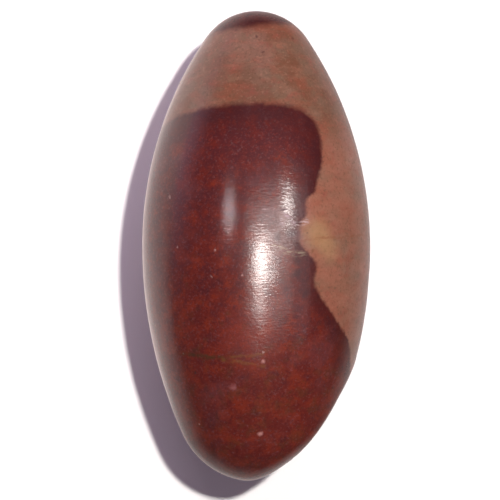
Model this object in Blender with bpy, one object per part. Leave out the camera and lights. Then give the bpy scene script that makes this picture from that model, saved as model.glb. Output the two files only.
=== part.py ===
# Polished lingam stone lying on its side, its long axis along Y and its underside at z = 0.
#
# The outline is an egg of four arcs: each end is a round nose, and a long flank arc
# joins the nose to the girth, tangent to both. Turned about the long axis and flattened
# a little, it gives the river-worn body. Two flats are then ground off the lower right,
# where the outline runs straighter, and a small one underneath, where the stone rests.

import math

import bmesh
import bpy
from mathutils import Vector

# Driving sizes, in metres
GIRTH_WIDTH = 0.0437  # across the widest section
GIRTH_DEPTH = 0.0410  # through the widest section, before the rest flat is ground
UPPER_END = 0.0450  # widest section to the tip of the upper end
UPPER_NOSE_RADIUS = 0.0117
LOWER_END = 0.0452  # widest section to the tip of the lower end, before the flats
LOWER_NOSE_RADIUS = 0.0155
REST_FLAT_WIDTH = 0.0085  # across the flat under the stone

SHOULDER_FLAT_SLOPE = math.radians(30)  # in plan, the face looks this far below +X
SHOULDER_FLAT_DEPTH = 0.0024  # stone ground away at the middle
SHOULDER_FLAT_SOFTNESS = 0.0005  # half the height over which the edge is rounded off
END_FLAT_SLOPE = math.radians(52)
END_FLAT_DEPTH = 0.0026
END_FLAT_SOFTNESS = 0.0030  # more than the depth, so this flat stays slightly domed

# Fineness of the faceted solid
SEGMENTS = 72  # around the girth
RINGS_PER_END = 28  # from the girth to a tip

JASPER_RED = (0.118, 0.022, 0.017, 1.0)
POLISH_ROUGHNESS = 0.24


class EggEnd:
    """One end of the outline: a nose arc tangent to a flank arc."""

    def __init__(self, length, nose_radius):
        half_girth = GIRTH_WIDTH / 2
        self.length = length
        self.nose_radius = nose_radius
        self.nose_centre = length - nose_radius
        # The flank arc's centre lies on the girth line, across the axis. The arc meets
        # the girth at its end, and the nose circle touches it from inside.
        self.flank_radius = (half_girth**2 + self.nose_centre**2 - nose_radius**2) / (
            2 * (half_girth - nose_radius)
        )
        self.flank_centre = self.flank_radius - half_girth
        to_nose = math.hypot(self.flank_centre, self.nose_centre)
        self.nose_starts = self.flank_radius * self.nose_centre / to_nose

    def half_width(self, station):
        """Half the outline's width at a distance from the girth line."""
        if station < self.nose_starts:
            return math.sqrt(self.flank_radius**2 - station**2) - self.flank_centre
        across = self.nose_radius**2 - (station - self.nose_centre) ** 2
        return math.sqrt(max(across, 0.0))

    def rings(self):
        """(station, half width) of each ring beyond the girth, up to the tip but without it."""
        turns = [math.pi / 2 * i / RINGS_PER_END for i in range(1, RINGS_PER_END)]
        stations = [self.length * math.sin(turn) for turn in turns]
        return [(station, self.half_width(station)) for station in stations]


def add_ring(mesh, y, half_width):
    """A flattened ring of points round the long axis."""
    flattening = GIRTH_DEPTH / GIRTH_WIDTH
    ring = []
    for i in range(SEGMENTS):
        turn = 2 * math.pi * i / SEGMENTS
        across = half_width * math.cos(turn)
        up = half_width * flattening * math.sin(turn)
        ring.append(mesh.verts.new((across, y, up)))
    return ring


def turn_body(mesh):
    """The egg before any flat is ground, as rings from the lower tip to the upper one."""
    upper = EggEnd(UPPER_END, UPPER_NOSE_RADIUS)
    lower = EggEnd(LOWER_END, LOWER_NOSE_RADIUS)
    sections = [(-station, width) for station, width in reversed(lower.rings())]
    sections.append((0.0, GIRTH_WIDTH / 2))
    sections.extend(upper.rings())
    rings = [add_ring(mesh, y, width) for y, width in sections]
    for near, far in zip(rings, rings[1:]):
        for i in range(SEGMENTS):
            j = (i + 1) % SEGMENTS
            mesh.faces.new((near[i], far[i], far[j], near[j]))
    for ring, tip_y in ((rings[0], -LOWER_END), (rings[-1], UPPER_END)):
        tip = mesh.verts.new((0.0, tip_y, 0.0))
        for i in range(SEGMENTS):
            mesh.faces.new((ring[i], ring[(i + 1) % SEGMENTS], tip))
    bmesh.ops.recalc_face_normals(mesh, faces=mesh.faces)


def upright_plane(mesh, slope, depth):
    """(direction, distance) of a plane this deep under the skin of the whole body."""
    facing = Vector((math.cos(slope), -math.sin(slope), 0.0))
    return facing, max(facing.dot(vert.co) for vert in mesh.verts) - depth


def grind_flat(mesh, plane, softness):
    """Moves what stands proud of a plane back to it, with a rounded edge."""
    facing, distance = plane
    for vert in mesh.verts:
        proud = facing.dot(vert.co) - distance
        if proud > softness:
            vert.co -= facing * proud
        elif proud > -softness:
            vert.co -= facing * (proud + softness) ** 2 / (4 * softness)


def grind_lower_flats(mesh):
    """Both flats on the lower right. Their planes are set before either is ground."""
    shoulder = upright_plane(mesh, SHOULDER_FLAT_SLOPE, SHOULDER_FLAT_DEPTH)
    end = upright_plane(mesh, END_FLAT_SLOPE, END_FLAT_DEPTH)
    grind_flat(mesh, shoulder, SHOULDER_FLAT_SOFTNESS)
    grind_flat(mesh, end, END_FLAT_SOFTNESS)


def grind_rest_flat(mesh):
    """Cuts the underside to one flat face of the stated width, and caps the cut."""
    share = REST_FLAT_WIDTH / GIRTH_WIDTH
    height = -GIRTH_DEPTH / 2 * math.sqrt(1 - share**2)
    cut = bmesh.ops.bisect_plane(
        mesh,
        geom=[*mesh.verts, *mesh.edges, *mesh.faces],
        plane_co=(0.0, 0.0, height),
        plane_no=(0.0, 0.0, -1.0),
        clear_outer=True,
    )
    rim = [item for item in cut["geom_cut"] if isinstance(item, bmesh.types.BMEdge)]
    bmesh.ops.edgeloop_fill(mesh, edges=rim)
    bmesh.ops.recalc_face_normals(mesh, faces=mesh.faces)


def set_on_origin(mesh):
    """Stands the stone on z = 0 with the middle of its plan at the origin."""
    lowest = Vector([min(vert.co[axis] for vert in mesh.verts) for axis in range(3)])
    highest = Vector([max(vert.co[axis] for vert in mesh.verts) for axis in range(3)])
    middle = (lowest + highest) / 2
    bmesh.ops.translate(mesh, verts=mesh.verts, vec=(-middle.x, -middle.y, -lowest.z))


def polished_jasper():
    """The red ground of the stone, under a hand polish."""
    material = bpy.data.materials.new("polished_jasper")
    material.use_nodes = True
    shader = material.node_tree.nodes["Principled BSDF"]
    shader.inputs["Base Color"].default_value = JASPER_RED
    shader.inputs["Roughness"].default_value = POLISH_ROUGHNESS
    shader.inputs["Metallic"].default_value = 0.0
    material.diffuse_color = JASPER_RED
    return material


def lingam_stone():
    """The whole stone, as one solid."""
    mesh = bmesh.new()
    turn_body(mesh)
    grind_lower_flats(mesh)
    grind_rest_flat(mesh)
    set_on_origin(mesh)
    data = bpy.data.meshes.new("lingam_stone")
    mesh.to_mesh(data)
    mesh.free()
    data.shade_smooth()
    data.set_sharp_from_angle(angle=math.radians(30))
    data.materials.append(polished_jasper())
    stone = bpy.data.objects.new("lingam_stone", data)
    bpy.context.scene.collection.objects.link(stone)
    return stone


def main():
    for old in list(bpy.data.objects):
        bpy.data.objects.remove(old)
    lingam_stone()


main()
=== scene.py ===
import math

import bpy
from mathutils import Matrix, Vector


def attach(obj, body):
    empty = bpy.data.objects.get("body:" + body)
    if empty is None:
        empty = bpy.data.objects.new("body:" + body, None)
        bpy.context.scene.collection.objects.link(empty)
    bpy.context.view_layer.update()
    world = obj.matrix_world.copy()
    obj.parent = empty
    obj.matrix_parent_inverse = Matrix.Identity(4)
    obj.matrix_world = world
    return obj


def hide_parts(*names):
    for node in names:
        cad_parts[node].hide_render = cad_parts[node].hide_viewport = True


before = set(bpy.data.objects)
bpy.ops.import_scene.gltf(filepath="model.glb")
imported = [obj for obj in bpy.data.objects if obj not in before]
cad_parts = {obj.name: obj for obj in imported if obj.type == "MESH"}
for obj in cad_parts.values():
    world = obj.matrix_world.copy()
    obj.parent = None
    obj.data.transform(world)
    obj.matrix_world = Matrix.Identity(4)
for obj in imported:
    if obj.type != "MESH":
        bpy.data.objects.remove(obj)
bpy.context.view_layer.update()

mm = 0.001  # one millimetre in Blender's metres

# The node kinds that are used most
mathNode = "ShaderNodeMath"
vectorMath = "ShaderNodeVectorMath"
mapRange = "ShaderNodeMapRange"
mapping = "ShaderNodeMapping"
noise = "ShaderNodeTexNoise"
joinXyz = "ShaderNodeCombineXYZ"
splitXyz = "ShaderNodeSeparateXYZ"
mixNode = "ShaderNodeMix"
setPosition = "GeometryNodeSetPosition"
switch = "GeometryNodeSwitch"
compare = "FunctionNodeCompare"
positionInput = "GeometryNodeInputPosition"

# Node settings that are used most
easing = {"interpolation_type": "SMOOTHSTEP"}  # a range that eases in and out
ofColours = {"data_type": "RGBA"}
ofNumbers = {"data_type": "FLOAT"}
switched = {"input_type": "FLOAT"}
nodeGrid = {"columns": 14, "width": 190, "height": 260}  # how a tree's nodes are laid out


def linearColour(hexColour):
    # The linear values of an sRGB colour
    channels = [int(hexColour[i:i + 2], 16) / 255 for i in (1, 3, 5)]
    linear = [c / 12.92 if c <= 0.04045 else ((c + 0.055) / 1.055) ** 2.4 for c in channels]
    return (*linear, 1.0)


def addNode(tree, kind, settings=None, feeds=None):
    # settings is a dictionary, or only the node's operation. feeds gives the inputs, by name or
    # in their order, a value, a socket, or a node whose first live output is used.
    node = tree.nodes.new(kind)
    row, column = divmod(len(tree.nodes), nodeGrid["columns"])
    node.location = (column * nodeGrid["width"], -row * nodeGrid["height"])
    if isinstance(settings, str):
        settings = {"operation": settings}
    for name, value in (settings or {}).items():
        setattr(node, name, value)
    if isinstance(feeds, list):
        feeds = dict(enumerate(feeds))
    for key, value in (feeds or {}).items():
        if isinstance(key, int):
            socket = node.inputs[key]
        else:
            socket = next(s for s in node.inputs if s.enabled and s.name == key)
        if isinstance(value, bpy.types.Node):
            value = next(s for s in value.outputs if s.enabled)
        if isinstance(value, bpy.types.NodeSocket):
            tree.links.new(value, socket)
        else:
            socket.default_value = value
    return node


def linkToScene(obj):
    bpy.context.scene.collection.objects.link(obj)
    return obj


# The stone's shape follows the same rule as the solid's, with fine relief on it.
# Lengths are in millimetres and slopes in degrees.
stoneSizes = {
    "Girth width": 43.7,
    "Girth depth": 41.0,
    "Upper end": 45.0,
    "Upper nose radius": 11.7,
    "Lower end": 45.2,
    "Lower nose radius": 15.5,
    "Shoulder flat slope": 30.0,
    "Shoulder flat depth": 2.4,
    "Shoulder flat softness": 0.5,
    "End flat slope": 52.0,
    "End flat depth": 2.6,
    "End flat softness": 3.0,
    "Rest flat width": 8.5,
    "Rest flat softness": 0.3,
    "Swell height": 0.14,  # slow unevenness left by hand grinding
    "Swell width": 12.0,
    "Ripple height": 0.05,  # the marks of the last grinding
    "Ripple width": 4.0,
    "Dimple height": 0.016,  # shallow dimples that the polish has not reached
    "Dimple width": 1.5,
    "Chip height": 0.06,  # chips in the scuffed place by the border
    "Chip width": 1.7,
}
reliefDetail = {"Swell": 1.0, "Ripple": 1.0, "Dimple": 3.0, "Chip": 2.0}  # of each one's noise
stoneGrid = {"Segments": 360, "Rings": 250}

# The scuffed place, from the middle of the long axis: its centre, its half sizes, and the share
# of them that is scuffed all over
scuffPlace = ((5.6, 3.4, 19.6), (5.6, 7.0, 8.0), 0.2)


def arcHeightTree():
    # How far a circle of this radius stands above its chord line, at a distance from its middle
    tree = bpy.data.node_groups.new("arcHeight", "GeometryNodeTree")
    for name in ("Radius", "Distance"):
        tree.interface.new_socket(name, in_out="INPUT", socket_type="NodeSocketFloat")
    tree.interface.new_socket("Height", in_out="OUTPUT", socket_type="NodeSocketFloat")
    given = addNode(tree, "NodeGroupInput").outputs
    less = addNode(tree, mathNode, "SUBTRACT", [given["Radius"], given["Distance"]])
    more = addNode(tree, mathNode, "ADD", [given["Radius"], given["Distance"]])
    square = addNode(tree, mathNode, "MULTIPLY", [less, more])
    height = addNode(tree, mathNode, "SQRT", [square])
    addNode(tree, "NodeGroupOutput", {}, {"Height": height})
    return tree


def placeMask(tree, point, centre, radii, core):
    # 1 in the core of an ellipsoid in the stone, 0 outside it
    away = addNode(tree, vectorMath, "SUBTRACT", [point, centre])
    scaled = addNode(tree, vectorMath, "DIVIDE", [away, radii])
    reach = addNode(tree, vectorMath, "LENGTH", [scaled])
    return addNode(tree, mapRange, easing, {
        "Value": reach, "From Min": core, "From Max": 1.0, "To Min": 1.0, "To Max": 0.0})


def grindFlat(tree, body, ground, slope, depth, softness):
    # Moves what stands proud of an upright plane back to it, with a rounded edge
    cosine = addNode(tree, mathNode, "COSINE", [slope])
    sine = addNode(tree, mathNode, "SINE", [slope])
    downward = addNode(tree, mathNode, "MULTIPLY", [sine, -1.0])
    facing = addNode(tree, joinXyz, {}, {"X": cosine, "Y": downward})
    reach = addNode(tree, vectorMath, "DOT_PRODUCT", [addNode(tree, positionInput), facing])
    reachRange = addNode(tree, "GeometryNodeAttributeStatistic", {}, {
        "Geometry": body, "Attribute": reach})
    plane = addNode(tree, mathNode, "SUBTRACT", [reachRange.outputs["Max"], depth])
    proud = addNode(tree, mathNode, "SUBTRACT", [reach, plane])
    raised = addNode(tree, mathNode, "ADD", [proud, softness])
    twice = addNode(tree, mathNode, "MULTIPLY", [softness, 2.0])
    topped = addNode(tree, mathNode, "MINIMUM", [raised, twice])
    bend = addNode(tree, mathNode, "MAXIMUM", [topped, 0.0])
    bendSquare = addNode(tree, mathNode, "MULTIPLY", [bend, bend])
    fourTimes = addNode(tree, mathNode, "MULTIPLY", [softness, 4.0])
    rounded = addNode(tree, mathNode, "DIVIDE", [bendSquare, fourTimes])
    beyond = addNode(tree, mathNode, "SUBTRACT", [proud, softness])
    straight = addNode(tree, mathNode, "MAXIMUM", [beyond, 0.0])
    cut = addNode(tree, mathNode, "ADD", [rounded, straight])
    inward = addNode(tree, mathNode, "MULTIPLY", [cut, -1.0])
    offset = addNode(tree, vectorMath, "SCALE", {"Vector": facing, "Scale": inward})
    return addNode(tree, setPosition, {}, {"Geometry": ground, "Offset": offset})


def eggBody(tree, size, arcHeight):
    # A ball whose poles become the two tips: its height runs along the stone
    ball = addNode(tree, "GeometryNodeMeshUVSphere", {}, {**stoneGrid, "Radius": 1.0})
    ballPoint = addNode(tree, splitXyz, {}, [addNode(tree, positionInput)]).outputs
    along = ballPoint["Z"]
    spoke = addNode(tree, joinXyz, {}, {"X": ballPoint["X"], "Y": ballPoint["Y"]})
    spokeUnit = addNode(tree, vectorMath, "NORMALIZE", [spoke])
    spokeParts = addNode(tree, splitXyz, {}, [spokeUnit]).outputs

    # Each end is a nose arc with a flank arc tangent to it and to the girth
    isUpper = addNode(tree, compare, {**ofNumbers, "operation": "GREATER_THAN"}, {
        "A": along, "B": 0.0})
    endLength = addNode(tree, switch, switched, {
        "Switch": isUpper, "False": size["Lower end"], "True": size["Upper end"]})
    noseRadius = addNode(tree, switch, switched, {
        "Switch": isUpper, "False": size["Lower nose radius"], "True": size["Upper nose radius"]})
    noseCentre = addNode(tree, mathNode, "SUBTRACT", [endLength, noseRadius])
    halfGirth = addNode(tree, mathNode, "MULTIPLY", [size["Girth width"], 0.5])
    girthSquare = addNode(tree, mathNode, "MULTIPLY", [halfGirth, halfGirth])
    centreSquare = addNode(tree, mathNode, "MULTIPLY", [noseCentre, noseCentre])
    noseSquare = addNode(tree, mathNode, "MULTIPLY", [noseRadius, noseRadius])
    squareSum = addNode(tree, mathNode, "ADD", [girthSquare, centreSquare])
    squareRest = addNode(tree, mathNode, "SUBTRACT", [squareSum, noseSquare])
    narrowing = addNode(tree, mathNode, "SUBTRACT", [halfGirth, noseRadius])
    twiceRadius = addNode(tree, mathNode, "DIVIDE", [squareRest, narrowing])
    flankRadius = addNode(tree, mathNode, "MULTIPLY", [twiceRadius, 0.5])
    flankCentre = addNode(tree, mathNode, "SUBTRACT", [flankRadius, halfGirth])
    centreStep = addNode(tree, joinXyz, {}, {"X": flankCentre, "Y": noseCentre})
    centreGap = addNode(tree, vectorMath, "LENGTH", [centreStep])
    noseShare = addNode(tree, mathNode, "DIVIDE", [noseCentre, centreGap])
    noseStart = addNode(tree, mathNode, "MULTIPLY", [flankRadius, noseShare])

    alongSize = addNode(tree, mathNode, "ABSOLUTE", [along])
    station = addNode(tree, mathNode, "MULTIPLY", [alongSize, endLength])
    pastNose = addNode(tree, mathNode, "SUBTRACT", [station, noseCentre])
    onNose = addNode(tree, "GeometryNodeGroup", {"node_tree": arcHeight}, {
        "Radius": noseRadius, "Distance": pastNose})
    onFlankArc = addNode(tree, "GeometryNodeGroup", {"node_tree": arcHeight}, {
        "Radius": flankRadius, "Distance": station})
    onFlank = addNode(tree, mathNode, "SUBTRACT", [onFlankArc, flankCentre])
    isFlank = addNode(tree, compare, {**ofNumbers, "operation": "LESS_THAN"}, {
        "A": station, "B": noseStart})
    halfWidth = addNode(tree, switch, switched, {
        "Switch": isFlank, "False": onNose, "True": onFlank})

    across = addNode(tree, mathNode, "MULTIPLY", [halfWidth, spokeParts["X"]])
    lengthwise = addNode(tree, mathNode, "MULTIPLY", [along, endLength])
    flattening = addNode(tree, mathNode, "DIVIDE", [size["Girth depth"], size["Girth width"]])
    halfDepth = addNode(tree, mathNode, "MULTIPLY", [halfWidth, flattening])
    downwards = addNode(tree, mathNode, "MULTIPLY", [halfDepth, spokeParts["Y"]])
    upwards = addNode(tree, mathNode, "MULTIPLY", [downwards, -1.0])
    bodyPoint = addNode(tree, joinXyz, {}, {"X": across, "Y": lengthwise, "Z": upwards})
    return addNode(tree, setPosition, {}, {
        "Geometry": ball.outputs["Mesh"], "Position": bodyPoint})


def addRelief(tree, size, ground):
    # Slow swells, finer ripples and dimples, and chips in the scuffed place, along the normal
    place = addNode(tree, positionInput)
    placeInMm = addNode(tree, vectorMath, "SCALE", {"Vector": place, "Scale": 1 / mm})
    scuffed = placeMask(tree, placeInMm, *scuffPlace)
    relief = 0.0
    for noun, detail in reliefDetail.items():
        share = scuffed if noun == "Chip" else 1.0
        fineness = addNode(tree, mathNode, "DIVIDE", [1.0, size[noun + " width"]])
        unevenness = addNode(tree, noise, {}, {
            "Vector": place, "Scale": fineness, "Detail": detail})
        balanced = addNode(tree, mathNode, "SUBTRACT", [unevenness, 0.5])
        height = addNode(tree, mathNode, "MULTIPLY", [balanced, size[noun + " height"]])
        relief = addNode(tree, mathNode, "MULTIPLY_ADD", [height, share, relief])
    outward = addNode(tree, "GeometryNodeInputNormal")
    offset = addNode(tree, vectorMath, "SCALE", {"Vector": outward, "Scale": relief})
    return addNode(tree, setPosition, {}, {"Geometry": ground, "Offset": offset})


def addRestFlat(tree, size, worn, arcHeight):
    # The flat that the stone rests on, at the height where it has its width
    share = addNode(tree, mathNode, "DIVIDE", [size["Rest flat width"], size["Girth width"]])
    chord = addNode(tree, "GeometryNodeGroup", {"node_tree": arcHeight}, {
        "Radius": 1.0, "Distance": share})
    drop = addNode(tree, mathNode, "MULTIPLY", [chord, size["Girth depth"]])
    level = addNode(tree, mathNode, "MULTIPLY", [drop, -0.5])
    point = addNode(tree, splitXyz, {}, [addNode(tree, positionInput)]).outputs
    lifted = addNode(tree, mathNode, "SMOOTH_MAX", [point["Z"], level, size["Rest flat softness"]])
    restPoint = addNode(tree, joinXyz, {}, {"X": point["X"], "Y": point["Y"], "Z": lifted})
    return addNode(tree, setPosition, {}, {"Geometry": worn, "Position": restPoint})


def stoneTree(material):
    tree = bpy.data.node_groups.new("handGroundStone", "GeometryNodeTree")
    tree.interface.new_socket("Stone", in_out="OUTPUT", socket_type="NodeSocketGeometry")
    for name in stoneSizes:
        tree.interface.new_socket(name, in_out="INPUT", socket_type="NodeSocketFloat")
    size = addNode(tree, "NodeGroupInput").outputs
    arcHeight = arcHeightTree()

    body = eggBody(tree, size, arcHeight)
    ground = body
    for flat in ("Shoulder flat", "End flat"):
        slope, depth, softness = (size[flat + part] for part in (" slope", " depth", " softness"))
        ground = grindFlat(tree, body, ground, slope, depth, softness)
    worn = addRelief(tree, size, ground)
    rested = addRestFlat(tree, size, worn, arcHeight)

    # The middle of its plan over the origin, and the flat on z = 0
    extent = addNode(tree, "GeometryNodeBoundBox", {}, {"Geometry": rested}).outputs
    cornerSum = addNode(tree, vectorMath, "ADD", [extent["Min"], extent["Max"]])
    backwards = addNode(tree, vectorMath, "SCALE", {"Vector": cornerSum, "Scale": -0.5})
    plan = addNode(tree, splitXyz, {}, [backwards]).outputs
    lowest = addNode(tree, splitXyz, {}, [extent["Min"]]).outputs
    lift = addNode(tree, mathNode, "MULTIPLY", [lowest["Z"], -1.0])
    homeward = addNode(tree, joinXyz, {}, {"X": plan["X"], "Y": plan["Y"], "Z": lift})
    home = addNode(tree, setPosition, {}, {"Geometry": rested, "Offset": homeward})

    smooth = addNode(tree, "GeometryNodeSetShadeSmooth", {}, {"Geometry": home})
    real = addNode(tree, "GeometryNodeRealizeInstances", {}, {"Geometry": smooth})
    finished = addNode(tree, "GeometryNodeSetMaterial", {}, {
        "Geometry": real, "Material": material})
    addNode(tree, "NodeGroupOutput", {}, {"Stone": finished})
    return tree


def makeStone(material):
    stone = linkToScene(bpy.data.objects.new("lingamStone", bpy.data.meshes.new("lingamSeed")))
    shape = stone.modifiers.new("handGround", "NODES")
    shape.node_group = stoneTree(material)
    for item in shape.node_group.interface.items_tree:
        if item.in_out == "INPUT":
            value = stoneSizes[item.name]
            shape[item.identifier] = math.radians(value) if "slope" in item.name else value * mm
    graph = bpy.context.evaluated_depsgraph_get()
    mesh = bpy.data.meshes.new_from_object(stone.evaluated_get(graph), depsgraph=graph)
    stone.modifiers.remove(shape)
    stone.data = mesh
    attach(stone, "root")
    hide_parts("lingam_stone")
    return stone


# The stone's finish. Places are in millimetres from the middle of its long axis: X across,
# Y along the stone towards the cap, Z up.
jasper = {
    "axisHeight": 20.1,  # of the long axis over the rest flat
    "halfLength": 45.0,
    "redGround": "#541810",
    "redRim": "#2d0c0d",  # the darker red just inside the border
    "rimStart": 0.2,
    "rimWidth": 7.5,
    "rimShare": 0.62,
    "tanGround": "#815341",
    "scuff": "#674a49",
    "scuffShare": 0.5,
    "scuffDulling": 0.06,  # what scuffing adds to the roughness
    "borderWobble": 0.75,  # how far borders and marks stray from their smooth outlines
    "wobbleSize": 1.7,
    "wobbleDetail": 4.0,
    "wobbleRoughness": 0.62,
    "borderSoftness": 0.6,
    "capSoftness": 0.85,
    "softerFrom": 20.0,  # where the border starts to grow softer towards the cap
    "topEdge": 26.5,  # where the red patch ends towards the cap
    "topEdgeDroop": 2.0,
    "cornerRounding": 9.0,
    "capEdge": 41.5,
    "capSlope": 0.14,
    "hiddenEdge": 158.0,  # degrees round from the top, on the far side of the tan band
    "beddingTurn": -22.0,  # degrees from straight across the stone
    "veinGaps": (0.36, 0.56),  # a mark is worn away up to the first value of a pattern
    "bruiseGaps": (0.42, 0.56),
    "strokeGaps": (0.40, 0.60),
    "spotCore": 0.15,  # the share of a spot that is full
    "roughness": 0.19,
    "roughnessSpread": 0.04,  # more or less of it, over these values of a pattern
    "roughnessPattern": (0.3, 0.7),
    "hazeShare": 0.25,  # of a second, wider gloss that fine scratches give
    "hazeRoughness": 0.45,
    "ior": 1.5,
    "polishLineSpacing": 0.4,
    "polishLineFineness": 0.7,  # along a line, per millimetre
    "polishLineTurn": -4.0,
    "polishLineDetail": 2.0,
    "polishLineRoughness": 0.6,
    "polishLineDepth": 0.024,  # of the bump, in millimetres
    "grainDepth": 0.016,
}

# Noises that the colours are laid by: size in millimetres, detail, roughness, stretch
patternSizes = {
    "clouds": (9.0, 3.0, 0.6, (1.0, 1.0, 1.0)),
    "blotches": (2.8, 4.0, 0.68, (1.0, 1.0, 1.0)),
    "grain": (0.5, 2.0, 0.6, (1.0, 1.0, 1.0)),  # real grains are finer, too fine to show
    "bedding": (2.2, 2.5, 0.55, (0.45, 1.0, 0.6)),  # drawn out along the old layers
}

# What shifts the colours: from and to, along the stone or out of the red, and the values there
colourShifts = {
    "lowerShare": (10.0, -26.0, -0.07, 0.06),  # brick and olive below, wine above
    "topShare": (14.0, 28.0, 0.0, 1.0),
    "nearRed": (-4.0, 0.0, -0.03, 0.06),  # rust just outside the red
}
shiftedPatterns = {
    "upperBlotches": ("SUBTRACT", "blotchesX", "lowerShare"),
    "lowerBlotches": ("ADD", "blotchesY", "lowerShare"),
    "lowerOlive": ("ADD", "blotchesZ", "lowerShare"),
    "rustyBedding": ("ADD", "beddingY", "nearRed"),
}

# Colours laid over the ground colours in turn: colour, pattern, where it starts and is full,
# and the most that it covers
redLayers = [
    ("#3f1518", "upperBlotches", 0.42, 0.66, 0.8),
    ("#6c220d", "lowerBlotches", 0.46, 0.70, 0.75),
    ("#482b14", "lowerOlive", 0.54, 0.74, 0.45),
    ("#5c3c40", "cloudsZ", 0.52, 0.74, 0.25),
    ("#300d0c", "grainX", 0.48, 0.75, 0.45),
    ("#742a1e", "grainY", 0.52, 0.75, 0.40),
    ("#66484a", "grainZ", 0.52, 0.76, 0.32),
]
tanLayers = [
    ("#573724", "topShare", 0.0, 1.0, 0.8),
    ("#695647", "cloudsX", 0.44, 0.64, 0.48),
    ("#8c6054", "cloudsY", 0.48, 0.68, 0.25),
    ("#5c4a38", "beddingX", 0.46, 0.68, 0.28),
    ("#7e402e", "rustyBedding", 0.46, 0.66, 0.38),
    ("#9c705c", "beddingZ", 0.52, 0.74, 0.16),
    ("#783a30", "blotchesZ", 0.54, 0.72, 0.42),
    ("#4c3826", "grainZ", 0.48, 0.74, 0.46),
    ("#9c705c", "grainX", 0.52, 0.78, 0.24),
]

# The tan band's seen edge: millimetres along the stone, degrees round from the top
seenEdge = [
    (-45, 118), (-36, 112), (-30, 98), (-26, 82), (-21.6, 69.5), (-18.3, 63), (-16.5, 56.4),
    (-14.4, 49.7), (-12.9, 45), (-11.2, 40.8), (-9.6, 36.5), (-8.3, 33.1), (-6.7, 31.7),
    (-5.2, 31.5), (-3.8, 32.6), (-2.4, 30.7), (-1.1, 26.6), (0, 23.7), (2, 22.5),
    (3.8, 23.8), (5.7, 26.5), (8.7, 27.4), (9.7, 31.2), (13.1, 36.0), (16, 39.5), (19, 41),
    (45, 42),
]

# Single marks: colour, centre, half size, how much they cover
spots = [
    ("#9c8258", (11.3, 2.2, 17.4), 4.2, 0.40),  # the ochre stain by the scuffed place
    ("#9c8258", (13.6, -0.6, 16.2), 3.6, 0.30),
    ("#5a3312", (10.3, -1.0, 18.1), 0.55, 0.8),
    ("#3a241c", (0.1, 39.5, 9.3), 0.5, 0.7),
    ("#3a241c", (1.2, 36.4, 11.1), 0.5, 0.6),
    ("#3a241c", (6.9, 39.3, 6.8), 0.5, 0.6),
    ("#a98a84", (-16.2, 9.1, 13.0), 0.45, 0.6),
    ("#a98a84", (-14.6, -0.2, 15.3), 0.45, 0.5),
    ("#a98a84", (-7.7, -0.8, 19.2), 0.4, 0.45),
    ("#a98a84", (-8.3, -5.8, 18.8), 0.4, 0.4),
    ("#b3837c", (0.6, -35.2, 13.6), 0.75, 0.65),
    ("#b3837c", (1.3, -21.4, 18.0), 0.6, 0.7),
    ("#8a5a5c", (-4.2, -26.3, 16.1), 1.0, 0.5),
    ("#8c4238", (-1.2, -17.0, 18.0), 8.5, 0.20),  # a paler cloud below the window's light
    ("#a98a84", (1.1, -19.6, 18.4), 0.35, 0.6),
]

# Darker bruises in and below the scuffed place, in the same order. In part they are painted shade:
# dark colour where the polish's sheen is dimmer
bruisesAndDimSheen = [
    ("#2e1a20", (3.8, 1.6, 20.2), 1.3, 0.55),
    ("#2e1a20", (6.3, 2.3, 19.6), 1.5, 0.65),
    ("#2c1216", (7.6, -2.6, 19.2), 1.6, 0.65),
    ("#2c1012", (7.4, -5.0, 19.1), 1.2, 0.70),
    ("#3a181c", (5.0, -8.0, 19.4), 1.5, 0.45),
    ("#2c1012", (9.0, -8.6, 18.0), 1.4, 0.50),
    ("#3a181c", (7.2, -11.5, 18.4), 1.2, 0.45),
]

# Scatters of small specks: colour, spacing, radius, share of cells with one, how much they cover
specks = [
    ("#33201a", 1.9, 0.34, 0.14, 0.7),
    ("#9a726c", 2.7, 0.34, 0.08, 0.6),
]

# Veins, which run down through the stone, and strokes of the scuffed place: colour, two ends
# in plan, half width, how much they cover, and for a stroke what it adds to the roughness
veins = [
    ("#332a14", (-13.8, -20.3), (-5.4, -20.9), 0.7, 0.7),
    ("#6e4a22", (-6.2, -20.8), (1.0, -20.1), 0.5, 0.35),
    ("#6e4a22", (-6.0, -21.2), (1.5, -22.2), 0.5, 0.40),
    ("#74452c", (8.0, 1.0), (23.0, 2.2), 0.35, 0.5),
]
scuffStrokes = [
    ("#3c1a20", (4.5, 6.5), (7.2, 6.4), 0.45, 0.9, 0.35),
    ("#8c6a6c", (1.0, 6.7), (3.1, 6.7), 0.4, 0.5, 0.1),
    ("#8a7078", (4.7, 4.2), (5.7, 6.0), 0.9, 0.7, 0.1),
    ("#8a7078", (5.8, 5.8), (7.0, 4.2), 0.8, 0.6, 0.1),
    ("#9c8684", (7.6, 3.6), (9.4, 4.4), 0.8, 0.8, 0.1),
    ("#857660", (3.4, 0.2), (5.2, -0.9), 0.8, 0.5, 0.1),
    ("#857660", (5.3, -1.2), (8.7, -1.5), 0.8, 0.5, 0.1),
]


def speckMask(tree, point, spacing, radius, chance):
    # Round specks, one in some of the cells of a scatter
    cells = addNode(tree, "ShaderNodeTexVoronoi", {}, {"Vector": point, "Scale": 1 / spacing})
    draw = addNode(tree, splitXyz, {}, [cells.outputs["Color"]]).outputs["X"]
    size = addNode(tree, mapRange, {}, {
        "Value": draw, "From Min": 1 - chance, "From Max": 1.0, "To Max": radius / spacing})
    edge = addNode(tree, mathNode, "SUBTRACT", [size, cells.outputs["Distance"]])
    softEdge = radius / spacing / 2
    return addNode(tree, mapRange, easing, {"Value": edge, "From Min": 0.0, "From Max": softEdge})


def spotMarks(tree, point, marks):
    # The marks of a list of round spots, each with its mask
    return [(colour, placeMask(tree, point, centre, [radius] * 3, jasper["spotCore"]), share)
            for colour, centre, radius, share in marks]


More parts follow.
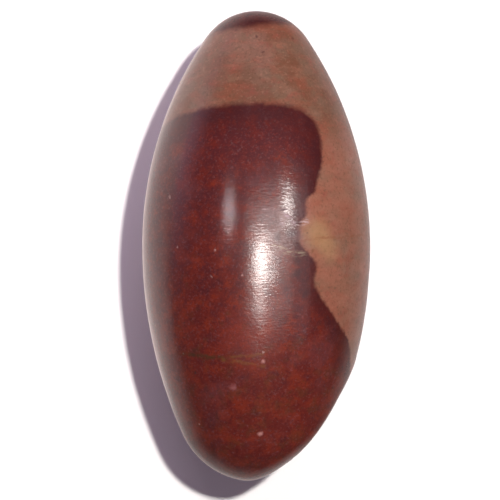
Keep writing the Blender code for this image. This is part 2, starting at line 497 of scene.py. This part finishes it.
def streakMask(tree, point, start, end, halfWidth, breaks):
    # 1 along a broken line between two points in plan, 0 away from it
    run = Vector((end[0] - start[0], end[1] - start[1], 0.0))
    flat = addNode(tree, vectorMath, "MULTIPLY", [point, (1.0, 1.0, 0.0)])
    fromStart = addNode(tree, vectorMath, "SUBTRACT", [flat, (*start, 0.0)])
    passed = addNode(tree, vectorMath, "DOT_PRODUCT", [fromStart, run / run.length_squared])
    along = addNode(tree, "ShaderNodeClamp", {}, {"Value": passed})
    nearest = addNode(tree, vectorMath, "SCALE", {"Vector": run, "Scale": along})
    away = addNode(tree, vectorMath, "DISTANCE", [fromStart, nearest])
    line = addNode(tree, mapRange, easing, {
        "Value": away, "From Min": 0.0, "From Max": halfWidth, "To Min": 1.0, "To Max": 0.0})
    return addNode(tree, mathNode, "MULTIPLY", [line, breaks])


def paintLayers(tree, under, layers, patterns):
    # Lays each colour over the last, where its pattern rises from start to full
    for colour, pattern, start, full, most in layers:
        amount = addNode(tree, mapRange, easing, {
            "Value": patterns[pattern], "From Min": start, "From Max": full, "To Max": most})
        under = addNode(tree, mixNode, ofColours, {
            "Factor": amount, "A": under, "B": linearColour(colour)})
    return under


def paintMarks(tree, under, marks):
    # Lays each mark's colour over the last, by its mask and the most that it covers
    for colour, mask, share in marks:
        amount = addNode(tree, mathNode, "MULTIPLY", [mask, share])
        under = addNode(tree, mixNode, ofColours, {
            "Factor": amount, "A": under, "B": linearColour(colour)})
    return under


def redDepthNode(tree, wobbled):
    # How far inside the red this point of the skin lies, in millimetres
    part = addNode(tree, splitXyz, {}, [wobbled]).outputs
    angle = addNode(tree, mathNode, "ARCTAN2", [part["X"], part["Z"]])
    girthPoint = addNode(tree, joinXyz, {}, {"X": part["X"], "Z": part["Z"]})
    radius = addNode(tree, vectorMath, "LENGTH", [girthPoint])
    half = jasper["halfLength"]
    lengthShare = addNode(tree, mapRange, {}, {
        "Value": part["Y"], "From Min": -half, "From Max": half})
    edgeCurve = addNode(tree, "ShaderNodeFloatCurve", {}, {"Value": lengthShare})
    curve = edgeCurve.mapping.curves[0]
    shares = [((y + half) / (2 * half), degrees / 180) for y, degrees in seenEdge]
    curve.points[0].location = shares[0]
    curve.points[-1].location = shares[-1]
    for share in shares[1:-1]:
        curve.points.new(*share)
    edgeCurve.mapping.update()
    edgeAngle = addNode(tree, mathNode, "MULTIPLY", [edgeCurve, math.pi])
    pastSeen = addNode(tree, mathNode, "SUBTRACT", [angle, edgeAngle])
    hiddenAngle = math.radians(jasper["hiddenEdge"])
    beforeHidden = addNode(tree, mathNode, "SUBTRACT", [hiddenAngle, angle])
    inBand = addNode(tree, mathNode, "MINIMUM", [pastSeen, beforeHidden])
    bandDepth = addNode(tree, mathNode, "MULTIPLY", [inBand, radius])

    angleSquare = addNode(tree, mathNode, "MULTIPLY", [angle, angle])
    aboveTop = addNode(tree, mathNode, "SUBTRACT", [part["Y"], jasper["topEdge"]])
    topDepth = addNode(tree, mathNode, "MULTIPLY_ADD", [
        angleSquare, jasper["topEdgeDroop"], aboveTop])
    tanDepth = addNode(tree, mathNode, "SMOOTH_MAX", [
        bandDepth, topDepth, jasper["cornerRounding"]])
    capLine = addNode(tree, mathNode, "MULTIPLY_ADD", [part["X"], -jasper["capSlope"], part["Y"]])
    capDepth = addNode(tree, mathNode, "SUBTRACT", [capLine, jasper["capEdge"]])
    patchDepth = addNode(tree, mathNode, "MULTIPLY", [tanDepth, -1.0])
    return addNode(tree, mathNode, "MAXIMUM", [patchDepth, capDepth])


def polishedJasper():
    # Polished jasper: opaque and fine grained, brick red against tan. A hand-rubbed satin
    # polish draws the lights out and blurs them, and its fine scratches add a wider haze.
    material = bpy.data.materials.new("polishedJasper")
    material.use_nodes = True
    tree = material.node_tree
    tree.nodes.clear()

    # Object coordinates, turned to millimetres from the middle of the long axis
    place = addNode(tree, "ShaderNodeTexCoord")
    point = addNode(tree, mapping, {}, {
        "Vector": place.outputs["Object"], "Location": (0, 0, -jasper["axisHeight"]),
        "Scale": [1 / mm] * 3})
    wobbleNoise = addNode(tree, noise, {}, {
        "Vector": point, "Scale": 1 / jasper["wobbleSize"], "Detail": jasper["wobbleDetail"],
        "Roughness": jasper["wobbleRoughness"]})
    wobble = addNode(tree, vectorMath, "SUBTRACT", [wobbleNoise.outputs["Color"], [0.5] * 3])
    wobbled = addNode(tree, vectorMath, "MULTIPLY_ADD", [
        wobble, [2 * jasper["borderWobble"]] * 3, point])
    redDepth = redDepthNode(tree, wobbled)

    patterns = {}
    beddingTurn = (0, 0, math.radians(jasper["beddingTurn"]))
    for name, (size, detail, roughness, stretch) in patternSizes.items():
        stretched = addNode(tree, mapping, {}, {
            "Vector": point, "Rotation": beddingTurn, "Scale": stretch})
        pattern = addNode(tree, noise, {}, {
            "Vector": stretched, "Scale": 1 / size, "Detail": detail, "Roughness": roughness})
        channels = addNode(tree, splitXyz, {}, [pattern.outputs["Color"]]).outputs
        patterns.update({name + axis: channels[axis] for axis in "XYZ"})

    # Wine towards the cap, brick and olive towards the other tip, rust just outside the red
    along = addNode(tree, splitXyz, {}, [wobbled]).outputs["Y"]
    for name, (start, end, least, most) in colourShifts.items():
        patterns[name] = addNode(tree, mapRange, {}, {
            "Value": redDepth if name == "nearRed" else along,
            "From Min": start, "From Max": end, "To Min": least, "To Max": most})
    for name, (operation, pattern, shift) in shiftedPatterns.items():
        patterns[name] = addNode(tree, mathNode, operation, [patterns[pattern], patterns[shift]])

    red = paintLayers(tree, linearColour(jasper["redGround"]), redLayers, patterns)
    rimFade = addNode(tree, mapRange, easing, {
        "Value": redDepth, "From Min": jasper["rimStart"], "From Max": jasper["rimWidth"],
        "To Min": jasper["rimShare"], "To Max": 0.0})
    red = addNode(tree, mixNode, ofColours, {
        "Factor": rimFade, "A": red, "B": linearColour(jasper["redRim"])})
    tan = paintLayers(tree, linearColour(jasper["tanGround"]), tanLayers, patterns)
    softness = addNode(tree, mapRange, {}, {
        "Value": along, "From Min": jasper["softerFrom"], "From Max": jasper["capEdge"],
        "To Min": jasper["borderSoftness"], "To Max": jasper["capSoftness"]})
    beforeBorder = addNode(tree, mathNode, "MULTIPLY", [softness, -1.0])
    redMask = addNode(tree, mapRange, easing, {
        "Value": redDepth, "From Min": beforeBorder, "From Max": softness})
    stone = addNode(tree, mixNode, ofColours, {"Factor": redMask, "A": tan, "B": red})

    # Polish lines run round the girth and break the lights up. Real ones are finer, and
    # are drawn as coarse as it takes to show them.
    fineness = jasper["polishLineFineness"]
    linePoint = addNode(tree, mapping, {}, {
        "Vector": point, "Rotation": (0, 0, math.radians(jasper["polishLineTurn"])),
        "Scale": (fineness, 1 / jasper["polishLineSpacing"], fineness)})
    lines = addNode(tree, noise, {}, {
        "Vector": linePoint, "Scale": 1.0, "Detail": jasper["polishLineDetail"],
        "Roughness": jasper["polishLineRoughness"]})

    # Where the veins, the scuffing and the strokes are whole, and not worn through
    whole = {}
    for name, pattern in (("veinGaps", patterns["blotchesX"]),
                          ("bruiseGaps", patterns["blotchesY"]), ("strokeGaps", lines)):
        start, full = jasper[name]
        whole[name] = addNode(tree, mapRange, easing, {
            "Value": pattern, "From Min": start, "From Max": full})

    # Marks over the ground: a scatter of small specks, then the single spots and the veins
    stone = paintMarks(tree, stone, [
        (colour, speckMask(tree, wobbled, spacing, radius, chance), share)
        for colour, spacing, radius, chance, share in specks])
    stone = paintMarks(tree, stone, spotMarks(tree, wobbled, spots))
    stone = paintMarks(tree, stone, [
        (colour, streakMask(tree, wobbled, start, end, halfWidth, whole["veinGaps"]), share)
        for colour, start, end, halfWidth, share in veins])

    # The scuffed place by the border: duller, paler and bruised, with dark patches painted where
    # its sheen is dimmer
    scuffed = placeMask(tree, wobbled, *scuffPlace)
    scuffAmount = addNode(tree, mathNode, "MULTIPLY", [scuffed, whole["bruiseGaps"]])
    stone = paintMarks(tree, stone, [(jasper["scuff"], scuffAmount, jasper["scuffShare"])])
    stone = paintMarks(tree, stone, spotMarks(tree, wobbled, bruisesAndDimSheen))

    # Gloss: satin polish, duller where scuffed, and dullest in the strokes
    start, full = jasper["roughnessPattern"]
    roughness = addNode(tree, mapRange, {}, {
        "Value": patterns["blotchesX"], "From Min": start, "From Max": full,
        "To Min": jasper["roughness"] - jasper["roughnessSpread"],
        "To Max": jasper["roughness"] + jasper["roughnessSpread"]})
    dulled = addNode(tree, mathNode, "MULTIPLY_ADD", [
        scuffAmount, jasper["scuffDulling"], roughness])
    for colour, start, end, halfWidth, share, dulling in scuffStrokes:
        stroke = streakMask(tree, wobbled, start, end, halfWidth, whole["strokeGaps"])
        stone = paintMarks(tree, stone, [(colour, stroke, share)])
        dulled = addNode(tree, mathNode, "MULTIPLY_ADD", [stroke, dulling, dulled])

    lineBump = addNode(tree, "ShaderNodeBump", {}, {
        "Height": lines, "Strength": 1.0, "Distance": jasper["polishLineDepth"] * mm})
    grainBump = addNode(tree, "ShaderNodeBump", {}, {
        "Height": patterns["grainZ"], "Strength": 1.0, "Distance": jasper["grainDepth"] * mm,
        "Normal": lineBump})
    shader = addNode(tree, "ShaderNodeBsdfPrincipled", {}, {
        "Base Color": stone, "Roughness": dulled, "Normal": grainBump,
        "IOR": jasper["ior"], "Metallic": 0.0, "Coat Weight": jasper["hazeShare"],
        "Coat Roughness": jasper["hazeRoughness"], "Coat IOR": jasper["ior"]})
    addNode(tree, "ShaderNodeOutputMaterial", {}, {"Surface": shader})
    return material


# The room: sizes of the floors are in metres, and every other length is in millimetres
studio = {
    "floorSize": 3.0,
    "floorHeight": -0.05,  # a hair below the stone's rest flat
    "floorColour": "#efefef",
    "floorRoughness": 0.9,
    "floorSpecular": 0.1,
    "mirrorHeight": 0.5,  # of the floor that the polish mirrors
    "mirrorMargin": 0.1,  # how much wider than the board it is to each side
    "wallColour": "#f4f1f2",  # what the camera sees beyond the floor
    "roomColour": "#e6d0ea",  # what lights the shadows
    "roomGlow": 0.205,
    "roomGloss": 0.10,  # what the polish mirrors of the room
    "photoWidth": 95.95,  # across the picture, at the height of the stone's long axis
    "aim": (-1.2, -0.8, 20.1),
    "cameraDistance": 500.0,
    "clipRange": (10.0, 10000.0),  # nearer and farther than this the camera sees nothing
}

# What the polish mirrors: a floor that is dimmer away from the stone, and a window's light on
# floor and wall at the upper left. Reaches are millimetres from the stone's long axis. Angles
# are degrees from the left of the picture towards the top, and pairs run from none to all.
mirroredRoom = {
    "axisHalf": 25.0,  # half the length of the axis that reaches are measured from
    "contactReach": (5.0, 24.0),  # painted contact shadow: the mirrored floor's glow is dimmed under the stone
    "floorReach": (115.0, 25.0),
    "floorGlow": 0.53,
    "farGlow": 0.07,
    "windowGlow": 1.36,
    "windowRise": (-50.0, 15.0),
    "windowFall": (90.0, 40.0),
    "farRise": (-15.0, 20.0),  # far from the stone its light is narrower
    "farReach": (60.0, 400.0),
    "wallHeight": 25.0,  # how high up the window's light ends on the wall
    "colour": "#ffebe8",
}

# Lamps by the direction they come from: distance and size (across, along the stone) in metres.
# The key lights the stone and casts the shadow, and the panels that only gloss are the
# bright shapes in its polish.
glossPanel = {"distance": 0.6, "colour": "#fffaf5", "lights": False, "glosses": True}
lamps = {
    "keyLamp": {
        "towards": (0.215, 0.195, 1.0), "distance": 0.75, "size": (0.030, 0.030),
        "watts": 6.9, "colour": "#fffaf5", "lights": True, "glosses": False},
    "fillPanel": {
        "towards": (0.0, 0.85, 0.5), "distance": 0.6, "size": (0.4, 0.4),
        "watts": 2.0, "colour": "#f0d8f0", "lights": True, "glosses": False},
    "overheadPanel": {
        **glossPanel, "towards": (0.25, -0.03, 1.0), "size": (0.48, 0.38),
        "watts": 1.05, "colour": "#fff0ea"},
    "windowPanel": {
        **glossPanel, "towards": (0.08, -0.06, 0.99), "size": (0.13, 0.09), "watts": 1.65},
    "windowGlow": {
        **glossPanel, "towards": (0.30, 0.08, 0.95), "size": (0.24, 0.20), "watts": 0.31},
    "windowFoot": {
        **glossPanel, "towards": (0.07, -0.23, 0.96), "size": (0.06, 0.11), "watts": 0.2},
    "windowCorner": {
        **glossPanel, "towards": (0.27, -0.06, 0.96), "size": (0.030, 0.020), "watts": 0.2},
    "rightPanel": {
        **glossPanel, "towards": (0.485, 0.20, 0.84), "size": (0.080, 0.020), "watts": 0.70},
    "rightGlow": {
        **glossPanel, "towards": (0.72, -0.03, 0.69), "size": (0.16, 0.45),
        "watts": 0.2, "colour": "#fff0f4"},
    "leftPanel": {
        **glossPanel, "towards": (-0.421, 0.180, 0.895), "size": (0.008, 0.045),
        "watts": 0.31, "colour": "#fff2f4"},
}


def levelSquare(name, finish, half, height):
    # A staged square of this half side, with a material to be given its nodes
    mesh = bpy.data.meshes.new(name)
    mesh.from_pydata([(-half, -half, height), (half, -half, height), (half, half, height),
                      (-half, half, height)], [], [(0, 1, 2, 3)])
    square = linkToScene(bpy.data.objects.new(name, mesh))
    material = bpy.data.materials.new(finish)
    material.use_nodes = True
    mesh.materials.append(material)
    return square, material.node_tree


def makeFloor():
    # A board under matt white paint: even, and without a reflection
    tree = levelSquare("paleBoard", "mattWhitePaint", studio["floorSize"] / 2,
                       studio["floorHeight"] * mm)[1]
    shader = tree.nodes["Principled BSDF"]
    shader.inputs["Base Color"].default_value = linearColour(studio["floorColour"])
    shader.inputs["Roughness"].default_value = studio["floorRoughness"]
    shader.inputs["Specular IOR Level"].default_value = studio["floorSpecular"]


def windowShares(tree, direction):
    # The share of the window's light that a direction has, near the stone and far from it
    part = addNode(tree, splitXyz, {}, [direction]).outputs
    leftward = addNode(tree, mathNode, "MULTIPLY", [part["X"], -1.0])
    angle = addNode(tree, mathNode, "ARCTAN2", [part["Y"], leftward])
    share, shares = 1.0, []
    for name in ("windowRise", "windowFall", "farRise"):
        none, full = (math.radians(degrees) for degrees in mirroredRoom[name])
        step = addNode(tree, mapRange, easing, {
            "Value": angle, "From Min": none, "From Max": full})
        share = addNode(tree, mathNode, "MULTIPLY", [step, share])
        shares.append(share)
    return shares[1:]


def makeMirroredFloor():
    # Stands in for the floor in the stone's polish alone, just above it and a little wider. It
    # glows as a lit table does, brightest where the window's light falls on it, and is dimmed
    # under the stone as a painted contact shadow.
    square, tree = levelSquare("mirroredFloor", "litTable",
                               studio["floorSize"] / 2 + studio["mirrorMargin"],
                               studio["mirrorHeight"] * mm)
    square.visible_camera = square.visible_diffuse = square.visible_shadow = False
    tree.nodes.clear()
    place = addNode(tree, "ShaderNodeTexCoord")
    point = addNode(tree, vectorMath, "SCALE", {
        "Vector": place.outputs["Object"], "Scale": 1 / mm})
    part = addNode(tree, splitXyz, {}, [point]).outputs
    onAxis = addNode(tree, "ShaderNodeClamp", {}, {
        "Value": part["Y"], "Min": -mirroredRoom["axisHalf"], "Max": mirroredRoom["axisHalf"]})
    beyond = addNode(tree, mathNode, "SUBTRACT", [part["Y"], onAxis])
    away = addNode(tree, joinXyz, {}, {"X": part["X"], "Y": beyond})
    reach = addNode(tree, vectorMath, "LENGTH", [away])
    steps = {}
    for name in ("contactReach", "floorReach", "farReach"):
        none, full = mirroredRoom[name]
        steps[name] = addNode(tree, mapRange, easing, {
            "Value": reach, "From Min": none, "From Max": full})
    floorGlow = addNode(tree, mathNode, "MULTIPLY_ADD", [
        steps["floorReach"], mirroredRoom["floorGlow"], mirroredRoom["farGlow"]])
    nearShare, farShare = windowShares(tree, away)
    share = addNode(tree, mixNode, ofNumbers, {
        "Factor": steps["farReach"], "A": nearShare, "B": farShare})
    glow = addNode(tree, mixNode, ofNumbers, {
        "Factor": share, "A": floorGlow, "B": mirroredRoom["windowGlow"]})
    strength = addNode(tree, mathNode, "MULTIPLY", [glow, steps["contactReach"]])
    shine = addNode(tree, "ShaderNodeEmission", {}, {
        "Color": linearColour(mirroredRoom["colour"]), "Strength": strength})
    addNode(tree, "ShaderNodeOutputMaterial", {}, {"Surface": shine})


def makeWorld():
    # The camera sees a plain pale wall, the shadows an even glow, and the polish a dim room
    # with the window's light low on its wall
    world = bpy.data.worlds.new("studioWorld")
    bpy.context.scene.world = world
    world.use_nodes = True
    tree = world.node_tree
    tree.nodes.clear()
    direction = addNode(tree, "ShaderNodeTexCoord").outputs["Generated"]
    onWall = windowShares(tree, direction)[1]
    height = addNode(tree, splitXyz, {}, [direction]).outputs["Z"]
    wallFade = addNode(tree, mapRange, {}, {
        "Value": height, "From Max": math.sin(math.radians(mirroredRoom["wallHeight"])),
        "To Min": mirroredRoom["windowGlow"], "To Max": 0.0})
    mirrored = addNode(tree, mathNode, "MULTIPLY_ADD", [onWall, wallFade, studio["roomGloss"]])
    rays = addNode(tree, "ShaderNodeLightPath").outputs
    glow = addNode(tree, mapRange, {}, {
        "Value": rays["Is Diffuse Ray"], "To Min": mirrored, "To Max": studio["roomGlow"]})
    room = addNode(tree, "ShaderNodeBackground", {}, {
        "Color": linearColour(studio["roomColour"]), "Strength": glow})
    wall = addNode(tree, "ShaderNodeBackground", {}, {
        "Color": linearColour(studio["wallColour"]), "Strength": 1.0})
    seen = addNode(tree, "ShaderNodeMixShader", {}, [rays["Is Camera Ray"], room, wall])
    addNode(tree, "ShaderNodeOutputWorld", {}, {"Surface": seen})


def makeLamps():
    # Area lamps round the stone, each turned to face it with its second side along the stone
    target = Vector(studio["aim"]) * mm
    for name, values in lamps.items():
        data = bpy.data.lights.new(name, "AREA")
        data.shape = "RECTANGLE"
        data.size, data.size_y = values["size"]
        data.energy = values["watts"]
        data.color = linearColour(values["colour"])[:3]
        lamp = linkToScene(bpy.data.objects.new(name, data))
        towards = Vector(values["towards"]).normalized()
        along = (Vector((0, 1, 0)) - towards * towards.y).normalized()
        turn = Matrix((along.cross(towards), along, towards)).transposed()
        place = Matrix.Translation(target + towards * values["distance"])
        lamp.matrix_world = place @ turn.to_4x4()
        lamp.visible_diffuse = values["lights"]
        lamp.visible_glossy = values["glosses"]


def makeCamera():
    # Looks straight down, with its top towards the cap
    data = bpy.data.cameras.new("overheadCamera")
    camera = linkToScene(bpy.data.objects.new("overheadCamera", data))
    aim = Vector(studio["aim"]) * mm
    camera.location = aim + Vector((0, 0, studio["cameraDistance"] * mm))
    data.lens = data.sensor_width * studio["cameraDistance"] / studio["photoWidth"]
    data.clip_start, data.clip_end = (reach * mm for reach in studio["clipRange"])
    bpy.context.scene.camera = camera


makeCamera()
makeFloor()
makeMirroredFloor()
makeWorld()
makeLamps()
bpy.context.scene.view_settings.view_transform = "Standard"
print("floor, lights and camera made")

finish = polishedJasper()
print("polished jasper made:", len(finish.node_tree.nodes), "nodes")
stone = makeStone(finish)
print("stone made:", len(stone.data.polygons), "faces")
